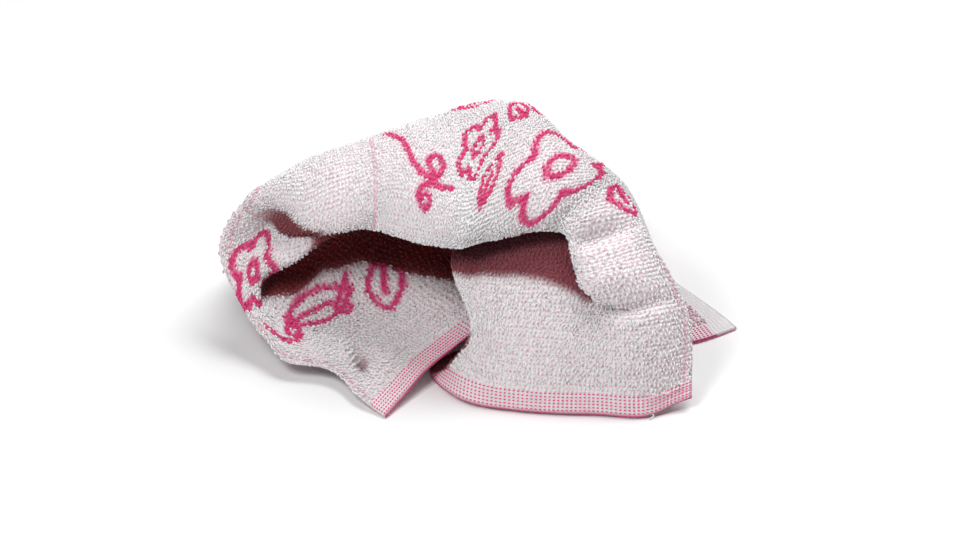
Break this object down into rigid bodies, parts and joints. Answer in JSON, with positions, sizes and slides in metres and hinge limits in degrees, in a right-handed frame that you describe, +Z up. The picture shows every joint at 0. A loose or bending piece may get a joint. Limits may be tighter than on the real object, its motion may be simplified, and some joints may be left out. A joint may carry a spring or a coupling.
{
  "type": "terry hand towel",
  "caption": "Small two-colour terry kitchen towel dropped in a loose heap, draped over itself with a hollow at the front and one corner lying flat.",
  "frame": {"origin": "centre of the bounding box, on the surface that the towel lies on", "axes": "+X to the right along the heap's longest side, +Y to its back, +Z up"},
  "size_m": [0.2342, 0.2176, 0.1039],
  "materials": {
    "terry": "matte cotton loop pile"
  },
  "bodies": {
    "root": {"towel": "terry"}
  },
  "joints": []
}
